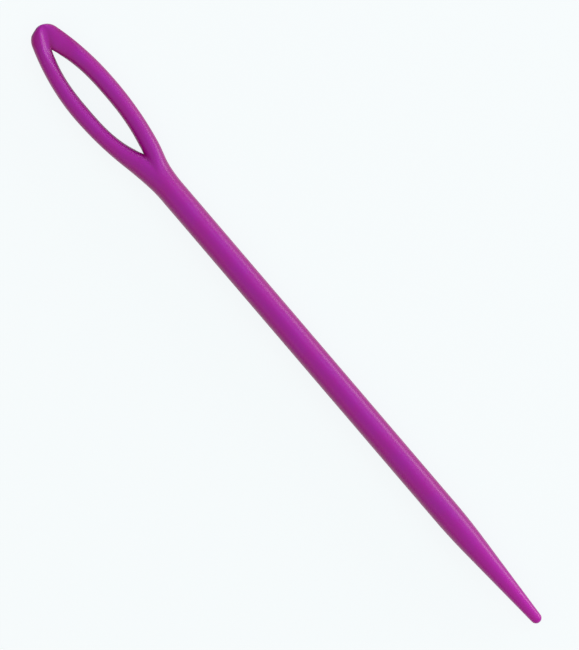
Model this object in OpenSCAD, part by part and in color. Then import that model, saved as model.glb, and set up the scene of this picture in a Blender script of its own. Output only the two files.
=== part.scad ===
// Plastic yarn needle, lying on its side with the eye open to +Z.
// The crown of the eye points to -X and the blunt point to +X.
// One injection moulding, held as its eye, its shaft and its point.

/* [Needle] */
// Length from the crown of the eye to the end of the point
needle_length = 90; // [75:1:150]
// Diameter of the straight round shaft
shaft_d = 3.15; // [2.4:0.05:4]

/* [Point] */
// Length that the taper takes, from the shoulder to the end of the tip
point_length = 14.3; // [10:0.1:20]
// Diameter of the blunt rounded tip
tip_d = 1.3; // [0.9:0.1:1.8]
// Radius of the soft shoulder where the shaft turns into the taper
shoulder_r = 75; // [20:5:100]

/* [Eye] */
// Distance from the crown to where the eye has drawn in to the shaft
eye_length = 24.5; // [23.5:0.5:27]
// Width over both arms at the widest place
eye_w = 6.5; // [5.5:0.1:7.5]
// Distance from the crown to the widest place
eye_widest = 10.7; // [9.5:0.1:12]
// Thickness of the arms and the crown, square to the plane of the eye
eye_t = 2; // [1.6:0.1:2.4]
// Radius of the round crown in the plane of the eye
crown_r = 1.88; // [1.4:0.02:2]
// Radius of the hollow curve where the neck runs into the shaft
neck_r = 16; // [6:1:18]
// Distance from the crown to where the arms begin to thicken towards the shaft
thickening_start = 15; // [12:0.5:18]
// How far the middle line of the eye stands off the line of the shaft, towards +Y
eye_offset = 0.14; // [0:0.01:0.3]
// How much further towards +Y the crown bends
crown_bend = 0.31; // [0:0.01:0.6]

/* [Crown] */
// Distance over which the crown grows to its full thickness
crown_rounding = 0.9; // [0.8:0.05:1.8]
// How steeply the crease between the crown and the opening runs to +Y
crease_turn = 0.55; // [0:0.05:0.6]
// How much lower the crown lies on its +Y side, as a share of its height
slump = 0.5; // [0:0.02:0.6]
// Width of the slope between the two levels
slump_w = 0.8; // [0.4:0.02:1]
// Distance behind the opening's start over which the lower level fades out
slump_reach = 3; // [2:0.2:7]

/* [Opening] */
// Distance from the crown to the near end of the opening
opening_start = 3.1; // [2.9:0.1:4.5]
// Length of the opening between its two pointed ends
opening_length = 16; // [13:0.2:16.4]
// Width of the opening at its middle
opening_w = 2.5; // [1.8:0.1:3]
// How full the sides of the opening are, from pointed to blunt
opening_fullness = 2.6; // [2:0.1:4]
// How far the middle line of the opening stands off the line of the shaft, towards +Y
opening_offset = 0.07; // [0:0.01:0.2]
// How much further towards +Y the rear end of the opening is drawn
opening_draw = 0.27; // [0:0.01:0.4]

/* [Gate mark] */
// Width of the small flat where the crown was clipped from its runner
gate_mark_w = 1.3; // [0.6:0.1:2]
// Angle of that flat from square to the needle
gate_mark_angle = 17; // [0:1:30]

/* [Hidden] */
plastic = "#9e2a96";
shaft_r = shaft_d / 2;
tip_r = tip_d / 2;
eye_half_w = eye_w / 2;
opening_middle = opening_start + opening_length / 2;
opening_end = opening_start + opening_length;

// The arc of the front half is tangent inside the crown's circle.
front_r = ((eye_widest - crown_r) ^ 2 + eye_half_w ^ 2 - crown_r ^ 2) / (2 * (eye_half_w - crown_r));
crown_end = crown_r - crown_r * (eye_widest - crown_r) / (front_r - crown_r);

// The arc of the rear half is tangent outside the neck's hollow curve.
rear_run = eye_length - eye_widest;
neck_drop = eye_half_w - shaft_r;
rear_r = (rear_run ^ 2 + (neck_r - neck_drop) ^ 2 - neck_r ^ 2) / (2 * neck_drop);
neck_start = eye_widest + rear_run * rear_r / (rear_r + neck_r);

// The taper is the line tangent to the tip's circle that starts on the shaft at point_length.
taper_run = point_length - tip_r;
taper_angle = acos(tip_r / norm([shaft_r, taper_run])) - atan2(taper_run, shaft_r);
tip_centre = needle_length - tip_r;
shoulder_half = shoulder_r * tan(taper_angle / 2);
shoulder_start = needle_length - point_length - shoulder_half;

// Counts of facets and stations.
around = 16; // facets on a quarter of an arm
round_facets = 4 * around;
crown_steps = 9;
crown_to_opening_steps = 7;
opening_steps = 30;
neck_steps = 14;
shoulder_steps = 6;
tip_steps = 10;
finest_gap = 0.00001;
settling = 3.1; // how far behind the opening the eye's middle line joins the shaft's

// The middle of the slope on the crown: up to the bend it crosses the crown, then it follows the arm.
slump_bend = 2.6;
slump_across = -0.49;
slump_turn = 0.55;
slump_along = 0.19;

// Half the width over both arms at a distance s from the crown.
function outer_half(s) =
    s < crown_end ? sqrt(max(0, crown_r ^ 2 - (crown_r - s) ^ 2)) :
    s < eye_widest ? eye_half_w - front_r + sqrt(front_r ^ 2 - (eye_widest - s) ^ 2) :
    s < neck_start ? eye_half_w - rear_r + sqrt(rear_r ^ 2 - (s - eye_widest) ^ 2) :
    shaft_r + neck_r - sqrt(neck_r ^ 2 - (eye_length - s) ^ 2);

// Half the width of the opening. It is negative where the two arms run into each other.
function opening_half(s) =
    let (reach = abs(s - opening_middle) / (opening_length / 2))
    max(-outer_half(s), opening_w / 2 * (1 - reach ^ opening_fullness));

// An eased step from 0 to 1.
function eased(part) = let (t = max(0, min(1, part))) t ^ 2 * (3 - 2 * t);

// 1 along the opening, falling smoothly to 0 where the middle lines have joined the shaft's.
function unsettled(s) = 1 - eased((s - opening_end) / settling);

// The middle lines of the eye and of the opening, towards +Y from the line of the shaft.
function eye_line(s) = eye_offset * unsettled(s) + crown_bend * max(0, 1 - s / eye_widest) ^ 1.5;
function opening_line(s) =
    let (rear = max(0, (s - opening_middle) / (opening_length / 2)))
    unsettled(s) * (opening_offset + opening_draw * rear ^ 4) + crease_turn * max(0, opening_start - s);

// The opening's edge or, where the arms have merged, their crease, measured from the middle
// line of the eye. The side is 1 towards +Y and -1 towards -Y.
function inner_edge(s, side) =
    let (offset = (eye_line(s) - opening_line(s)) * min(1, outer_half(s) / crown_r))
    max(0, opening_half(s)) - side * offset;

// Half the thickness, rounded off at the crown and growing to the shaft at the neck.
function half_depth(s) =
    let (grown = (s - thickening_start) / (eye_length - thickening_start))
    let (crown_round = s < crown_rounding ? sqrt(1 - (1 - s / crown_rounding) ^ 2) : 1)
    crown_round * (eye_t / 2 + (shaft_r - eye_t / 2) * eased(grown));

// The share of its height that the skin keeps at y, where the crown lies lower towards +Y.
function level(s, y) =
    let (ahead = slump_bend - s)
    let (line = slump_across + slump_along * ahead + (slump_turn - slump_along) * max(0, ahead))
    let (kept = eased(s / crown_rounding) - eased((s - opening_start) / slump_reach))
    1 - slump * kept * eased((y - line) / slump_w + 0.5);

// A point of the section at s on the upper side of one arm: k = 0 is on the outer edge,
// and k = around on the opening's edge or on the crease.
function section_point(s, k, side) =
    let (outer = outer_half(s), inner = inner_edge(s, side), merged = min(0, opening_half(s)))
    let (last = merged < 0 ? acos(-(outer + merged) / (outer - merged)) : 180)
    let (a = last * k / around)
    let (across = (cos(a) - cos(last)) / (1 - cos(last)))
    let (y = side * (inner + (outer - inner) * across) + eye_line(s))
    [s, y, half_depth(s) * sin(a) * level(s, y)];

// Stations along the eye, closer together towards both ends of the opening.
stations = [
    for (i = [0:crown_steps]) crown_end * (1 - cos(90 * i / crown_steps)),
    for (i = [1:crown_to_opening_steps])
        crown_end + (opening_start - crown_end) * sin(90 * i / crown_to_opening_steps),
    for (i = [1:opening_steps]) opening_start + opening_length * (1 - cos(180 * i / opening_steps)) / 2,
    for (i = [1:neck_steps])
        let (part = i / neck_steps)
        opening_end + (eye_length - opening_end) * (part + part ^ 2) / 2
];
last_station = len(stations) - 1;
row = around + 1;
quarter_size = len(stations) * row;

// The eye is four quarter sheets, on either side and above and below. They meet along the outer
// edges, the edges of the opening and, where the arms have merged, the creases.
quarters = [[1, 1], [-1, 1], [-1, -1], [1, -1]];
skin_points = [
    for (quarter = quarters, s = stations, k = [0:around])
        let (p = section_point(s, k, quarter[0]))
        [p.x, p.y, p.z * quarter[1]]
];

// Which quarter's point is used for point k at station i of quarter q, so that an edge is shared.
function holder(q, i, k) =
    let (gap = round(opening_half(stations[i]) / finest_gap))
    k > 0 && k < around ? q :
    k == 0 || gap > 0 ? [0, 1, 1, 0][q] :
    gap < 0 ? [0, 0, 2, 2][q] : 0;

function point_at(q, i, k) = i == 0 ? 0 : holder(q, i, k) * quarter_size + i * row + k;

// A face as it is listed, or the other way round in the two quarters that are mirrored once.
function facing(face, q) = q % 2 == 0 ? face : [for (i = [len(face) - 1:-1:0]) face[i]];

skin_faces = [
    for (q = [0:3], i = [0:last_station - 1], k = [0:around - 1])
        let (near = [point_at(q, i, k), point_at(q, i, k + 1)])
        let (far = [point_at(q, i + 1, k), point_at(q, i + 1, k + 1)])
        each [
            facing([near[0], far[0], far[1]], q),
            if (i > 0) facing([near[0], far[1], near[1]], q)
        ]
];

// The round end face, which meets the shaft.
end_face = [
    for (k = [0:around]) point_at(3, last_station, k),
    for (k = [around - 1:-1:0]) point_at(2, last_station, k),
    for (k = [1:around]) point_at(1, last_station, k),
    for (k = [around - 1:-1:1]) point_at(0, last_station, k)
];

module eye_skin() {
    polyhedron(points = skin_points, faces = concat(skin_faces, [end_face]), convexity = 6);
}

// The slanted flat, as wide as a chord of the crown's circle.
module gate_cut() {
    flat_distance = sqrt(crown_r ^ 2 - (gate_mark_w / 2) ^ 2);
    translate([crown_r, eye_line(crown_r), 0])
        rotate([0, 0, 180 + gate_mark_angle])
            translate([flat_distance, -crown_r, -crown_r])
                cube([crown_r, 2 * crown_r, 2 * crown_r]);
}

// Puts a solid drawn from the crown along +X on the surface that the needle lies on.
module lying() {
    translate([-needle_length / 2, 0, shaft_r]) children();
}

module eye() {
    color(plastic)
        lying()
            difference() {
                eye_skin();
                gate_cut();
            }
}

module shaft() {
    color(plastic)
        lying()
            translate([eye_length, 0, 0])
                rotate([0, 90, 0])
                    cylinder(r = shaft_r, h = shoulder_start - eye_length, $fn = round_facets);
}

// Half outline of the point: shoulder arc, straight taper and round tip, turned about the axis.
point_outline = [
    [0, shoulder_start],
    for (i = [0:shoulder_steps])
        let (a = taper_angle * i / shoulder_steps)
        [shaft_r - shoulder_r * (1 - cos(a)), shoulder_start + shoulder_r * sin(a)],
    for (i = [0:tip_steps - 1])
        let (a = taper_angle + (90 - taper_angle) * i / tip_steps)
        [tip_r * cos(a), tip_centre + tip_r * sin(a)],
    [0, needle_length]
];

module point() {
    color(plastic)
        lying()
            rotate([0, 90, 0])
                rotate_extrude($fn = round_facets)
                    polygon(point_outline);
}

eye();
shaft();
point();
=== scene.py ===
import math
import bpy
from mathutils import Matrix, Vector


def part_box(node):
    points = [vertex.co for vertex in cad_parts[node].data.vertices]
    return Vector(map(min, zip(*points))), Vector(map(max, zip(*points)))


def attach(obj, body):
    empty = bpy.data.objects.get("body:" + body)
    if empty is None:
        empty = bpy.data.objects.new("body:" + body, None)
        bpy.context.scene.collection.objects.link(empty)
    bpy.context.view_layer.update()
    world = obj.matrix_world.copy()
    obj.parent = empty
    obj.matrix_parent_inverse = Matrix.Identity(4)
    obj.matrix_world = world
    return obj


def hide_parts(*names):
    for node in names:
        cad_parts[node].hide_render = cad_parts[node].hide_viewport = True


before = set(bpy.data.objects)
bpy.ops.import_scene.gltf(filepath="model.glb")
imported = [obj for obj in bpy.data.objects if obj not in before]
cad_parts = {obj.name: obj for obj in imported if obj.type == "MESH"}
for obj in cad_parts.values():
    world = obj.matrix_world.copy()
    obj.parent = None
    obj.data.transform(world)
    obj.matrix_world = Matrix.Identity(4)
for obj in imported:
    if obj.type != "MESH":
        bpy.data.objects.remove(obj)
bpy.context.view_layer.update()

millimetre = 0.001
hair = 1e-7  # metres: a length too small to matter

# Where the CAD has the needle. It lies along X, its middle over the origin.
shaftLow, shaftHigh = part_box("shaft")
pointLow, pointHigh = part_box("point")
tipX = pointHigh.x
crownX = -tipX  # the clipped gate takes a little off the crown, so its box is no measure
axisZ = (shaftLow.z + shaftHigh.z) / 2
print("frame: needle", round((tipX - crownX) / millimetre, 2), "mm long")


class Wire:  # a socket that can stand in a sum
    def __init__(self, board, socket):
        self.board, self.socket = board, socket

    def __add__(self, other):
        return self.board.maths("ADD", self, other)

    def __radd__(self, other):
        return self.board.maths("ADD", other, self)

    def __sub__(self, other):
        return self.board.maths("SUBTRACT", self, other)

    def __rsub__(self, other):
        return self.board.maths("SUBTRACT", other, self)

    def __mul__(self, other):
        return self.board.maths("MULTIPLY", self, other)

    def __rmul__(self, other):
        return self.board.maths("MULTIPLY", other, self)

    def __truediv__(self, other):
        return self.board.maths("DIVIDE", self, other)

    def __rtruediv__(self, other):
        return self.board.maths("DIVIDE", other, self)

    def __pow__(self, other):
        return self.board.maths("POWER", self, other)

    def __neg__(self):
        return self.board.maths("MULTIPLY", self, -1)

    def __lt__(self, other):
        return self.board.maths("LESS_THAN", self, other)

    def __gt__(self, other):
        return self.board.maths("GREATER_THAN", self, other)


class Board:  # a node tree that is being wired up
    def __init__(self, tree):
        self.tree = tree

    # Every node comes from here. output=None gives all its outputs, by name.
    def node(self, kind, settings=None, inputs=None, output=0):
        made = self.tree.nodes.new(kind)
        for name, value in (settings or {}).items():
            setattr(made, name, value)
        for name, value in (inputs or {}).items():
            if isinstance(value, Wire):
                self.tree.links.new(value.socket, made.inputs[name])
            else:
                made.inputs[name].default_value = value
        if output is None:
            return {out.name: Wire(self, out) for out in made.outputs}
        return Wire(self, made.outputs[output]) if made.outputs else None

    def maths(self, operation, *values):
        return self.node("ShaderNodeMath", {"operation": operation}, dict(enumerate(values)))

    def root(self, value):
        return self.maths("SQRT", value)

    def unsigned(self, value):
        return self.maths("ABSOLUTE", value)

    def larger(self, a, b):
        return self.maths("MAXIMUM", a, b)

    def smaller(self, a, b):
        return self.maths("MINIMUM", a, b)

    def within(self, value, low=0.0, high=1.0):
        return self.smaller(self.larger(value, low), high)

    def soft(self, value, low, high):  # 0 at low, 1 at high, eased at both ends
        t = self.within((value - low) / (high - low))
        return t * t * (3 - 2 * t)

    def halfChord(self, radius, away):  # of a circle, this far away from its middle
        return self.root(self.larger(radius * radius - away * away, 0))

    def pick(self, test, yes, no):
        return self.node("GeometryNodeSwitch", {"input_type": "FLOAT"},
                         {"Switch": test, "True": yes, "False": no})

    def blend(self, share, first, second):  # of two colours
        return self.node("ShaderNodeMix", {"data_type": "RGBA"},
                         {0: share, 6: first, 7: second}, output=2)

    def split(self, vector):
        parts = self.node("ShaderNodeSeparateXYZ", None, {0: vector}, output=None)
        return parts["X"], parts["Y"], parts["Z"]

    def store(self, mesh, name, value, domain="POINT"):  # a number kept on the mesh
        return self.node("GeometryNodeStoreNamedAttribute",
                         {"domain": domain, "data_type": "FLOAT"},
                         {"Geometry": mesh, "Name": name, "Value": value})

    def stored(self, name):
        return self.node("GeometryNodeInputNamedAttribute", {"data_type": "FLOAT"}, {"Name": name})

    def spreadOut(self, columns=12, width=190, height=240):  # so that the tree can be read
        for number, made in enumerate(self.tree.nodes):
            made.location = (number % columns * width, -(number // columns) * height)


def freshBoard(holder):  # the emptied node tree of a material or a world
    holder.use_nodes = True
    holder.node_tree.nodes.clear()
    return Board(holder.node_tree)


def addObject(name, data):
    made = bpy.data.objects.new(name, data)
    bpy.context.scene.collection.objects.link(made)
    return made


# The camera, as the photograph was taken: straight down, the needle running to the lower right.
photoView = {
    "widthPixels": 579, "heightPixels": 650,
    "needleMiddle": (286.77, 326.04),  # pixels from the left and from the top
    "pixelsPerMillimetre": 8.652,      # at the height of the needle's axis
    "turn": 49.51,                     # degrees from the image's level to the needle
    "lens": 200, "sensor": 36,         # millimetres
    "near": 0.01, "far": 10,           # metres
}


def placeCamera(look):
    scale = look["pixelsPerMillimetre"] / millimetre
    turn = math.radians(look["turn"])
    right = Vector((math.cos(turn), math.sin(turn), 0))
    up = Vector((-math.sin(turn), math.cos(turn), 0))
    aside = (look["widthPixels"] / 2 - look["needleMiddle"][0]) / scale
    above = (look["needleMiddle"][1] - look["heightPixels"] / 2) / scale
    distance = look["heightPixels"] / scale * look["lens"] / look["sensor"]
    optics = bpy.data.cameras.new("camera")
    optics.lens, optics.sensor_width, optics.sensor_fit = look["lens"], look["sensor"], "AUTO"
    optics.clip_start, optics.clip_end = look["near"], look["far"]
    camera = addObject("camera", optics)
    camera.location = right * aside + up * above + Vector((0, 0, axisZ + distance))
    camera.rotation_euler = (0, 0, turn)
    bpy.context.scene.camera = camera


placeCamera(photoView)
bpy.context.scene.view_settings.view_transform = "Standard"
print("camera placed")


# The needle's form, by the same sizes as in the CAD. Distances along it run from the crown.
eyeSizes = {
    "eyeLength": shaftLow.x - crownX,
    "shaftRadius": (shaftHigh.z - shaftLow.z) / 2,
    "eyeHalfWidth": 3.25 * millimetre,
    "widestAt": 10.7 * millimetre,
    "crownRadius": 1.88 * millimetre,
    "neckRadius": 16 * millimetre,
    "openingStart": 3.1 * millimetre,
    "openingLength": 16 * millimetre,
    "openingHalfWidth": 1.25 * millimetre,
    "openingFullness": 2.6,             # the power of its curve: 2 is a parabola, more is squarer
    "armHalfThickness": 1 * millimetre,
    "thickeningStart": 15 * millimetre,
    "eyeOffset": 0.14 * millimetre,     # the eye's middle line stands off the shaft's, towards +Y
    "crownBend": 0.31 * millimetre,     # and bends this much further at the crown
    "openingOffset": 0.07 * millimetre,
    "openingDraw": 0.27 * millimetre,   # of the opening's rear end, towards +Y
    "settling": 3.1 * millimetre,       # how far behind the opening these lines join the shaft's
    "crownCreaseTurn": 0.55,            # how steeply the crease on the crown runs to +Y
    "crownRounding": 0.9 * millimetre,  # over which the crown grows to its full thickness
    "slump": 0.5,                       # how much lower the crown's +Y side lies, of its height
    "slumpWidth": 0.8 * millimetre,     # of the slope between the two levels
    "slumpBend": 2.6 * millimetre,      # where the slope turns from along the arm to over the crown
    "slumpAcross": -0.49 * millimetre,  # its middle at the bend
    "slumpAlong": 0.19,                 # how steeply it runs to +Y behind the bend
    "slumpTurn": 0.55,                  # and before it
    "slumpReach": 3 * millimetre,       # how far along the arms it fades
    "ridge": 0.03 * millimetre,         # the parting line stands this proud
}
barSizes = {  # the shaft and the point
    "shaftRadius": eyeSizes["shaftRadius"],
    "shaftStart": eyeSizes["eyeLength"],
    "shoulderStart": pointLow.x - crownX,
    "needleLength": tipX - crownX,
    "pointLength": 14.3 * millimetre,
    "tipRadius": 0.65 * millimetre,
    "ridge": eyeSizes["ridge"],
}
bendPower = 1.5  # of the crown's bend
drawPower = 4    # of the draw at the opening's rear end


# The clipped gate: a slanted flat on the crown.
gateMark = {
    "width": 1.3 * millimetre,
    "turn": math.radians(17),  # of its outward direction, from -X to -Y
}
gateAway = Vector((-math.cos(gateMark["turn"]), -math.sin(gateMark["turn"]), 0))


def placeGate(mark, size):  # how far its plane lies from the origin
    bend = size["crownBend"] * (1 - size["crownRadius"] / size["widestAt"]) ** bendPower
    crownMiddle = Vector((crownX + size["crownRadius"], size["eyeOffset"] + bend, 0))
    fromMiddle = math.sqrt(size["crownRadius"] ** 2 - (mark["width"] / 2) ** 2)
    return gateAway.dot(crownMiddle) + fromMiddle


gateDistance = placeGate(gateMark, eyeSizes)


plasticLook = {
    "magenta": (0.366, 0.0014, 0.345, 1),
    "violet": (0.352, 0.0024, 0.372, 1),
    "paler": (0.48, 0.10, 0.44, 1),     # along the parting line and the scratches
    "sides": (0.295, 0.0016, 0.19, 1),  # painted shade: darker and less blue down the sides, standing in for how the light falls there
    "thin": (0.46, 0.004, 0.41, 1),     # painted light: lighter towards the point, as it is lit more
    "torn": (0.15, 0.0015, 0.125, 1),   # painted shade on the gate's flat
    "palerShare": 0.10, "tornShare": 0.85,
    "sidesFull": 0.45, "sidesGone": 0.95,  # heights between which the painted side shade fades, of half the thickness
    "sidesLessAtPoint": 0.45,
    # Sizes of patterns are in millimetres. The needle's length is the first axis of a stretch.
    "patches": {"size": 3.2, "detail": 2.5},
    "grain": {"size": 0.11, "detail": 3.0, "roughness": 0.6},
    "streaks": {"size": 0.35, "roughness": 0.55, "stretch": (0.35 / 9, 1, 1), "shift": 7.0},
    "scratches": {"size": 0.595, "detail": 1.0, "stretch": (0.21 / 9, 1, 1.1), "shift": 21.0},
    "scuffs": {"size": 5.0, "detail": 1.0, "shift": 3.0},  # where the scratches are
    "tear": {"size": 0.14, "detail": 3.0},
    "patchEdge": (0.35, 0.65), "scuffEdge": (0.5, 0.62), "scratchWidth": 0.012,
    "seamWidth": 0.09 * millimetre,
    "gateDepth": 0.22 * millimetre, "gateEdge": (0.3, 1.0),  # shares of that depth
    "roughness": 0.35, "roughnessLimits": (0.1, 0.9),
    "rougher": {"streaks": 0.10, "grain": 0.08, "seam": 0.06, "gate": 0.16, "scratches": 0.10},
    "relief": {"streaks": 0.5, "grain": 0.35, "gate": 3, "scratches": 0.5},
    "bumpStrength": 0.25, "bumpHeight": 0.02 * millimetre,
    "refraction": 1.49, "gloss": 0.335,
}


def mouldedPlastic(look):
    material = bpy.data.materials.new("magenta moulded plastic")
    b = freshBoard(material)
    place = b.node("ShaderNodeTexCoord", output="Object")
    x, y, z = b.split(place)

    def noise(size, detail=2.0, roughness=0.5, stretch=(1, 1, 1), shift=0.0):  # lies round 0.5
        cells = tuple(part / (size * millimetre) for part in stretch)
        spot = b.node("ShaderNodeVectorMath", {"operation": "MULTIPLY_ADD"},
                      {0: place, 1: cells, 2: (shift, shift, shift)})
        return b.node("ShaderNodeTexNoise", None,
                      {"Vector": spot, "Scale": 1.0, "Detail": detail, "Roughness": roughness})

    patches = b.soft(noise(**look["patches"]), *look["patchEdge"])
    grain, streaks = noise(**look["grain"]), noise(**look["streaks"])
    scratches = 1 - b.soft(b.unsigned(noise(**look["scratches"]) - 0.5), 0.0, look["scratchWidth"])
    scratches = scratches * b.soft(noise(**look["scuffs"]), *look["scuffEdge"])
    seam = 1 - b.soft(b.unsigned(z - axisZ), 0.0, look["seamWidth"])
    inside = gateDistance - x * gateAway.x - y * gateAway.y
    gate = 1 - b.soft(inside / look["gateDepth"], *look["gateEdge"])
    # painted light: how far along the point a place lies, the point being painted lighter
    thin = b.within((x - pointLow.x) / (pointHigh.x - pointLow.x))
    rise = b.node("ShaderNodeAttribute", {"attribute_name": "rise"}, output="Fac")
    # painted shade: how much of the side shade a place gets, more the nearer its surface lies to
    # the parting line
    sideShadeShare = 1 - b.within((rise - look["sidesFull"]) / (look["sidesGone"] - look["sidesFull"]))

    colour = b.blend(patches, look["magenta"], look["violet"])
    # painted light towards the point
    colour = b.blend(thin, colour, look["thin"])
    # painted shade down the sides, with less of it on the point
    colour = b.blend(sideShadeShare * (1 - thin * look["sidesLessAtPoint"]), colour, look["sides"])
    worn = b.within(seam * look["palerShare"] + scratches * look["palerShare"])
    colour = b.blend(worn, colour, look["paler"])
    # painted shade on the gate's flat; its roughness and relief belong to the torn surface itself
    colour = b.blend(gate * look["tornShare"], colour, look["torn"])

    more = look["rougher"]
    rough = look["roughness"] + (streaks - 0.5) * more["streaks"] + (grain - 0.5) * more["grain"]
    rough = rough + seam * more["seam"] + gate * more["gate"] + scratches * more["scratches"]

    relief = look["relief"]
    height = grain * relief["grain"] + streaks * relief["streaks"]
    height = height + gate * noise(**look["tear"]) * relief["gate"]
    height = height - scratches * relief["scratches"]
    bump = b.node("ShaderNodeBump", None,
                  {"Strength": look["bumpStrength"], "Distance": look["bumpHeight"],
                   "Height": height})
    shader = b.node("ShaderNodeBsdfPrincipled", None,
                    {"Base Color": colour, "Roughness": b.within(rough, *look["roughnessLimits"]),
                     "Normal": bump, "IOR": look["refraction"],
                     "Specular IOR Level": look["gloss"]})
    b.node("ShaderNodeOutputMaterial", None, {"Surface": shader})
    b.spreadOut()
    return material


plastic = mouldedPlastic(plasticLook)
print("plastic mixed")


# How the skins are made. The whole numbers count faces, around a section and along the needle.
skinMesh = {
    "quarter": 24,       # faces on a quarter of a section
    "edgeShare": 0.018,  # how narrow the quarter's first and last face are, for the parting line
    "crown": 40, "opening": 100, "neck": 36, "shaft": 70, "shoulder": 10, "taper": 18, "tip": 12,
    "openFrom": 0.02 * millimetre,   # half width at which the opening's edge gets the line too
    "joinWithin": 0.0015 * millimetre,
    "sharpOver": math.radians(80),   # the rims of the hidden end faces
}
# Where the crease between the arms and the two ends of the opening is rounded.
creaseSoftening = {
    "from": 0.78,                    # share of the way in from the outer edge
    "gap": 0.4 * millimetre,         # half width of the opening at which it ends
    "lessBehind": 0.5,               # behind the widest place
    "fadeFrom": 2.5 * millimetre, "fadeTo": 1 * millimetre,  # ahead of the shaft
    "steps": 5,
}


# How the rows of a stretch are spaced, as t goes from 0 to 1.
def even(b, t):
    return t


def closeAtStart(b, t):
    return 1 - b.maths("COSINE", t * (math.pi / 2))


def closeAtEnd(b, t):
    return b.maths("SINE", t * (math.pi / 2))


def closeAtBoth(b, t):
    return 0.5 - b.maths("COSINE", t * math.pi) * 0.5


# Where each skin starts, and its stretches as (rows, length, how the rows are spaced).
def eyeRows(size):
    neck = size["eyeLength"] - size["openingStart"] - size["openingLength"]
    return 0, [(skinMesh["crown"], size["openingStart"], closeAtBoth),
               (skinMesh["opening"], size["openingLength"], closeAtBoth),
               (skinMesh["neck"], neck, closeAtStart)]


def shaftRows(size):
    length = size["shoulderStart"] - size["shaftStart"]
    return size["shaftStart"], [(skinMesh["shaft"], length, even)]


def pointRows(size):
    half = size["needleLength"] - size["pointLength"] - size["shoulderStart"]  # the shoulder's
    taper = size["pointLength"] - half - size["tipRadius"]
    return size["shoulderStart"], [(skinMesh["shoulder"], half * 2, even),
                                   (skinMesh["taper"], taper, even),
                                   (skinMesh["tip"], size["tipRadius"], closeAtEnd)]


def stretchOut(b, index, stretches):  # the place of a numbered row
    place, first = 0, 0
    for steps, length, spacing in stretches:
        place = spacing(b, b.within((index - first) / steps)) * length + place
        first += steps
    return place


def middleLines(b, s, size):  # of the eye and of its opening
    part = b.within((s - size["openingStart"] - size["openingLength"]) / size["settling"])
    unsettled = 1 - part * part * (3 - 2 * part)
    bend = size["crownBend"] * b.larger(1 - s / size["widestAt"], 0) ** bendPower
    half = size["openingLength"] / 2
    rear = b.larger((s - size["openingStart"] - half) / half, 0)
    draw = rear ** drawPower * size["openingDraw"]
    crease = size["crownCreaseTurn"] * b.larger(size["openingStart"] - s, 0)
    eyeLine = unsettled * size["eyeOffset"] + bend
    return eyeLine, unsettled * (draw + size["openingOffset"]) + crease


# Both sections give, at s: the outer and inner half widths, the angle at which a quarter ends,
# the half thickness, how far the middle line lies to +Y, and the opening's half width.
def eyeSection(b, s, side, size):
    # Where the crown's circle, the front arc, the rear arc and the neck's arc run into each other.
    apart = size["eyeHalfWidth"] - size["crownRadius"]
    ahead = size["widestAt"] - size["crownRadius"]
    widths = size["eyeHalfWidth"] + size["crownRadius"]
    frontRadius = (ahead * ahead + apart * widths) / (2 * apart)
    share = size["crownRadius"] * ahead / (frontRadius - size["crownRadius"])
    crownEnd = size["crownRadius"] - share
    behind = size["eyeLength"] - size["widestAt"]
    drop = size["eyeHalfWidth"] - size["shaftRadius"]
    rearRadius = (behind * behind + drop * (drop - 2 * size["neckRadius"])) / (2 * drop)
    neckStart = size["widestAt"] + behind * rearRadius / (rearRadius + size["neckRadius"])

    def arc(radius):
        return size["eyeHalfWidth"] - radius + b.halfChord(radius, s - size["widestAt"])

    crown = b.halfChord(size["crownRadius"], size["crownRadius"] - s)
    neckReach = b.halfChord(size["neckRadius"], size["eyeLength"] - s)
    neck = size["shaftRadius"] + size["neckRadius"] - neckReach
    rear = b.pick(s < neckStart, arc(rearRadius), neck)
    outer = b.pick(s < crownEnd, crown, b.pick(s < size["widestAt"], arc(frontRadius), rear))

    middle = size["openingStart"] + size["openingLength"] / 2
    reach = b.unsigned(s - middle) / (size["openingLength"] / 2)
    gap = size["openingHalfWidth"] * (1 - reach ** size["openingFullness"])
    gap = b.larger(gap, -outer)
    merged = b.smaller(gap, 0)
    last = b.within(-(outer + merged) / b.larger(outer - merged, hair), -1, 0)
    last = b.pick(merged < -hair, b.maths("ARCCOSINE", last), math.pi)

    shift, openingLine = middleLines(b, s, size)
    narrowing = b.smaller(outer / size["crownRadius"], 1)
    inner = b.larger(gap, 0) - side * (shift - openingLine) * narrowing

    grown = b.soft(s, size["thickeningStart"], size["eyeLength"])
    rounded = b.halfChord(1.0, b.larger(1 - s / size["crownRounding"], 0))
    growth = (size["shaftRadius"] - size["armHalfThickness"]) * grown
    return outer, inner, last, rounded * (size["armHalfThickness"] + growth), shift, gap


def slumped(b, s, y, size):  # the share of its height that the skin keeps at a place
    ahead = size["slumpBend"] - s
    line = size["slumpAcross"] + ahead * size["slumpAlong"]
    line = line + b.larger(ahead, 0) * (size["slumpTurn"] - size["slumpAlong"])
    kept = b.soft(s / size["crownRounding"], 0.0, 1.0)
    kept = kept - b.soft((s - size["openingStart"]) / size["slumpReach"], 0.0, 1.0)
    return 1 - size["slump"] * kept * b.soft((y - line) / size["slumpWidth"], -0.5, 0.5)


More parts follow.
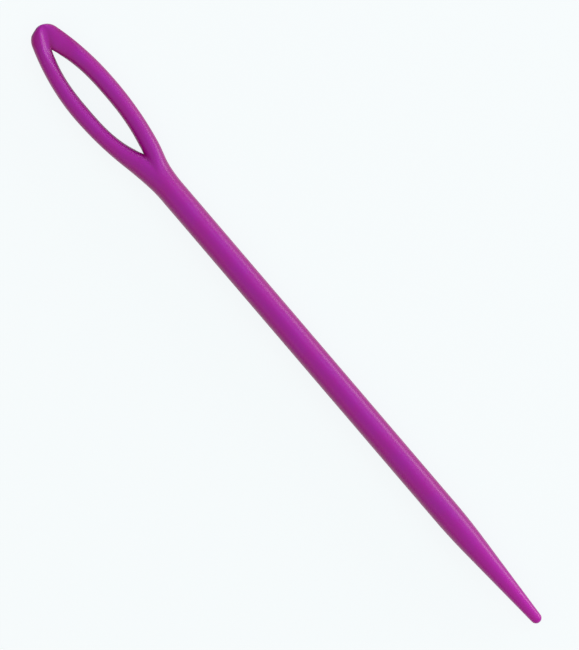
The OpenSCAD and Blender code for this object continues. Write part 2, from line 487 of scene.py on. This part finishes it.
def barSection(b, s, side, size):
    # The taper's slope, then where the shoulder and the tip run into it.
    run = size["pointLength"] - size["tipRadius"]
    slant = b.root(size["shaftRadius"] ** 2 + run * run)
    angle = b.maths("ARCCOSINE", size["tipRadius"] / slant)
    angle = angle - b.maths("ARCTAN2", run, size["shaftRadius"])
    cosine, sine, slope = (b.maths(name, angle) for name in ("COSINE", "SINE", "TANGENT"))
    tipCentre = size["needleLength"] - size["tipRadius"]
    tipStart = tipCentre + size["tipRadius"] * sine
    half = size["needleLength"] - size["pointLength"] - size["shoulderStart"]  # the shoulder's
    shoulderRadius = half / b.maths("TANGENT", angle / 2)
    shoulderEnd = size["shoulderStart"] + shoulderRadius * sine
    shoulderReach = b.halfChord(shoulderRadius, b.larger(s - size["shoulderStart"], 0))
    shoulder = size["shaftRadius"] - shoulderRadius + shoulderReach
    taper = size["tipRadius"] * cosine + (tipStart - s) * slope
    tip = b.halfChord(size["tipRadius"], b.larger(s - tipCentre, 0))
    radius = b.pick(s < shoulderEnd, shoulder, b.pick(s < tipStart, taper, tip))
    return radius, 0.0, math.pi / 2, radius, 0.0, -1.0


def quarterSheets(b, rows, around):  # four flat grids, numbered 0 to 3
    sheet = b.node("GeometryNodeMeshGrid", None,
                   {"Size X": 1.0, "Size Y": 1.0,
                    "Vertices X": rows + 1, "Vertices Y": around + 1})
    spots = b.node("GeometryNodePoints", None, {"Count": 4})
    copies = b.node("GeometryNodeInstanceOnPoints", None, {"Points": spots, "Instance": sheet})
    copies = b.store(copies, "quarter", b.node("GeometryNodeInputIndex"), "INSTANCE")
    return b.node("GeometryNodeRealizeInstances", None, {"Geometry": copies})


def creaseWeight(b, s, across, gap, size):
    look = creaseSoftening
    weight = b.soft(across, look["from"], 1.0) * b.soft(gap, look["gap"], 0.0)
    weight = weight * (1 - look["lessBehind"] * (s > size["widestAt"]))
    shaft = size["eyeLength"]
    return weight * b.soft(s, shaft - look["fadeTo"], shaft - look["fadeFrom"])


def softenCrease(b, mesh):
    blurred = b.node("GeometryNodeBlurAttribute", {"data_type": "FLOAT_VECTOR"},
                     {"Value": b.node("GeometryNodeInputPosition"),
                      "Iterations": creaseSoftening["steps"], "Weight": b.stored("soften")})
    return b.node("GeometryNodeSetPosition", None, {"Geometry": mesh, "Position": blurred})


def clipGate(b, mesh):  # whatever stands past the flat's plane is laid back on it
    out = b.node("ShaderNodeVectorMath", {"operation": "DOT_PRODUCT"},
                 {0: b.node("GeometryNodeInputPosition"), 1: gateAway}, output="Value")
    back = b.node("ShaderNodeVectorMath", {"operation": "SCALE"},
                  {0: gateAway, "Scale": -b.larger(out - gateDistance, 0)})
    return b.node("GeometryNodeSetPosition", None, {"Geometry": mesh, "Offset": back})


def shadeSmooth(b, mesh, domain, smooth):
    return b.node("GeometryNodeSetShadeSmooth", {"domain": domain},
                  {"Geometry": mesh, "Shade Smooth": smooth})


# Four quarter sheets, each bent to the section's rule, are joined along their shared edges.
# frontCap is 1 for a skin that starts with an end face; every skin ends with one.
def skinTree(name, sizes, section, rowPlan, frontCap, softened):
    tree = bpy.data.node_groups.new(name, "GeometryNodeTree")
    tree.is_modifier = True
    panel = tree.interface
    panel.new_socket("Skin", in_out="OUTPUT", socket_type="NodeSocketGeometry")
    panel.new_socket("Blank", in_out="INPUT", socket_type="NodeSocketGeometry")
    for key, value in sizes.items():
        panel.new_socket(key, in_out="INPUT", socket_type="NodeSocketFloat").default_value = value
    panel.new_socket("Plastic", in_out="INPUT", socket_type="NodeSocketMaterial")
    b = Board(tree)
    size = b.node("NodeGroupInput", output=None)

    around = skinMesh["quarter"]
    start, stretches = rowPlan(size)
    lastRow = sum(steps for steps, length, spacing in stretches)
    rows = frontCap + lastRow + 1
    mesh = quarterSheets(b, rows, around)
    quarter = b.stored("quarter")
    side = 1 - 2 * (b.unsigned(quarter - 1.5) < 1)
    upper = 1 - 2 * (quarter > 1.5)
    sheetX, sheetY = b.split(b.node("GeometryNodeInputPosition"))[:2]
    row = b.maths("ROUND", (sheetX + 0.5) * rows) - frontCap
    column = b.maths("ROUND", (sheetY + 0.5) * around)

    s = stretchOut(b, row, stretches) + start
    edge = skinMesh["edgeShare"]
    across = stretchOut(b, column, [(1, edge, even), (around - 2, 1 - 2 * edge, even),
                                    (1, edge, even)])
    outer, inner, last, depth, shift, gap = section(b, s, side, size)
    angle = across * last
    cosine, cosineLast = b.maths("COSINE", angle), b.maths("COSINE", last)
    rise = b.maths("SINE", angle)
    reach = (cosine - cosineLast) / (1 - cosineLast)
    innerEdge = (column > around - 0.5) * b.maths("GREATER_THAN", gap, skinMesh["openFrom"])
    onEdge = (column < 0.5) - innerEdge
    proud = size["ridge"] * b.smaller(outer / size["shaftRadius"], 1)
    y = side * (inner + (outer - inner - proud) * reach + proud * onEdge)
    z = upper * depth * rise
    if softened:
        z = z * slumped(b, s, y + shift, size)
        mesh = b.store(mesh, "soften", creaseWeight(b, s, across, gap, size))
    mesh = b.store(mesh, "rise", rise)
    closed = 1 - frontCap * b.within(-row) - b.within(row - lastRow)
    spot = b.node("ShaderNodeCombineXYZ", None,
                  {"X": s + crownX, "Y": y * closed + shift, "Z": z * closed + axisZ})
    mesh = b.node("GeometryNodeSetPosition", None, {"Geometry": mesh, "Position": spot})
    inwards = b.maths("MODULO", quarter, 2) < 0.5  # two of the quarters are bent inside out
    mesh = b.node("GeometryNodeFlipFaces", None, {"Mesh": mesh, "Selection": inwards})
    mesh = b.node("GeometryNodeMergeByDistance", None,
                  {"Geometry": mesh, "Distance": skinMesh["joinWithin"]})
    if softened:
        mesh = clipGate(b, softenCrease(b, mesh))

    rim = b.node("GeometryNodeInputMeshEdgeAngle") > skinMesh["sharpOver"]
    mesh = shadeSmooth(b, shadeSmooth(b, mesh, "FACE", True), "EDGE", 1 - rim)
    mesh = b.node("GeometryNodeRealizeInstances", None, {"Geometry": mesh})
    mesh = b.node("GeometryNodeSetMaterial", None, {"Geometry": mesh, "Material": size["Plastic"]})
    b.node("NodeGroupOutput", None, {0: mesh})
    b.spreadOut()
    return tree


def mould(name, node, tree, sizes):
    blank = addObject(name + ".blank", bpy.data.meshes.new(name + ".blank"))
    modifier = blank.modifiers.new("skin", "NODES")
    modifier.node_group = tree
    values = {**sizes, "Plastic": plastic}
    for socket in tree.interface.items_tree:
        if socket.in_out == "INPUT" and socket.name in values:
            modifier[socket.identifier] = values[socket.name]
    graph = bpy.context.evaluated_depsgraph_get()
    mesh = bpy.data.meshes.new_from_object(blank.evaluated_get(graph))
    for attribute in ("quarter", "soften"):  # only the making needed these
        if attribute in mesh.attributes:
            mesh.attributes.remove(mesh.attributes[attribute])
    blank.modifiers.clear()
    bpy.data.objects.remove(blank)
    mesh.name = name
    piece = addObject(name, mesh)
    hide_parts(node)
    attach(piece, "root")
    print(name, "moulded:", len(mesh.polygons), "faces")


eyeTree = skinTree("eye skin", eyeSizes, eyeSection, eyeRows, frontCap=0, softened=True)
shaftTree = skinTree("shaft skin", barSizes, barSection, shaftRows, frontCap=1, softened=False)
pointTree = skinTree("point skin", barSizes, barSection, pointRows, frontCap=1, softened=False)
mould("eyeSkin", "eye", eyeTree, eyeSizes)
mould("shaftSkin", "shaft", shaftTree, barSizes)
mould("pointSkin", "point", pointTree, barSizes)


# The floor and the light. A lamp's angle runs over the needle from +Y (0 degrees) to -Y (180),
# its turn from +Y towards the point.
studio = {
    "paper": (0.94, 0.985, 1.0, 1),
    "paperHalf": 1.5,              # metres
    "paperShown": 0.9,             # how much of its tone is shown as it is, over its shading
    "horizon": (0.21, 0.2, 0.18, 1), "zenith": (0.885, 0.81, 0.74, 1),
    "skyFrom": 0.2, "skyTo": 0.8,  # heights between which the one turns into the other
    "lamps": {
        "key": {"angle": 9, "turn": 18, "distance": 0.45, "length": 0.38, "height": 0.14,
                "power": 1.19, "colour": (1.0, 0.96, 0.92)},
        "side": {"angle": 10, "turn": -34, "distance": 0.45, "length": 0.25, "height": 0.14,
                 "power": 0.25, "colour": (1.0, 0.98, 0.95)},
        "upper": {"angle": 45, "turn": 0, "distance": 0.5, "length": 0.25, "height": 0.25,
                  "power": 0.19, "colour": (0.65, 1.0, 1.35)},
        "rear": {"angle": 156, "turn": 0, "distance": 0.5, "length": 0.25, "height": 0.25,
                 "power": 0.134, "colour": (1.45, 1.0, 0.3)},
    },
}


def pavePaper(look):
    half = look["paperHalf"]
    corners = [(-half, -half, 0), (half, -half, 0), (half, half, 0), (-half, half, 0)]
    mesh = bpy.data.meshes.new("paper")
    mesh.from_pydata(corners, [], [(0, 1, 2, 3)])
    floor = addObject("paper", mesh)
    material = bpy.data.materials.new("pale paper")
    b = freshBoard(material)
    rays = b.node("ShaderNodeLightPath", output=None)
    seen = b.within(rays["Is Camera Ray"] + rays["Is Transmission Ray"] + rays["Is Glossy Ray"])
    matt = b.node("ShaderNodeBsdfDiffuse", None, {"Color": look["paper"]})
    shown = b.node("ShaderNodeEmission", None, {"Color": look["paper"], "Strength": 1.0})
    mixed = b.node("ShaderNodeMixShader", None, {0: seen * look["paperShown"], 1: matt, 2: shown})
    b.node("ShaderNodeOutputMaterial", None, {"Surface": mixed})
    b.spreadOut()
    mesh.materials.append(material)


def hangLamp(name, look):
    lamp = bpy.data.lights.new(name, "AREA")
    lamp.shape, lamp.size, lamp.size_y = "RECTANGLE", look["length"], look["height"]
    lamp.energy, lamp.color = look["power"], look["colour"]
    angle, turn = math.radians(look["angle"]), math.radians(look["turn"])
    across = math.cos(angle)
    away = Vector((across * math.sin(turn), across * math.cos(turn), math.sin(angle)))
    holder = addObject(name, lamp)
    holder.location = away * look["distance"]
    holder.rotation_euler = (-holder.location).to_track_quat("-Z", "Y").to_euler()


def lightRoom(look):
    world = bpy.data.worlds.new("room")
    bpy.context.scene.world = world
    b = freshBoard(world)
    skyHeight = b.split(b.node("ShaderNodeTexCoord", output="Generated"))[2]
    share = b.soft(skyHeight, look["skyFrom"], look["skyTo"])
    sky = b.blend(share, look["horizon"], look["zenith"])
    light = b.node("ShaderNodeBackground", None, {"Color": sky, "Strength": 1.0})
    shown = b.node("ShaderNodeBackground", None, {"Color": look["paper"], "Strength": 1.0})
    cameraRay = b.node("ShaderNodeLightPath", output="Is Camera Ray")
    mixed = b.node("ShaderNodeMixShader", None, {0: cameraRay, 1: light, 2: shown})
    b.node("ShaderNodeOutputWorld", None, {"Surface": mixed})
    b.spreadOut()
    for name, lamp in look["lamps"].items():
        hangLamp(name, lamp)


pavePaper(studio)
lightRoom(studio)
print("floor and lights set")
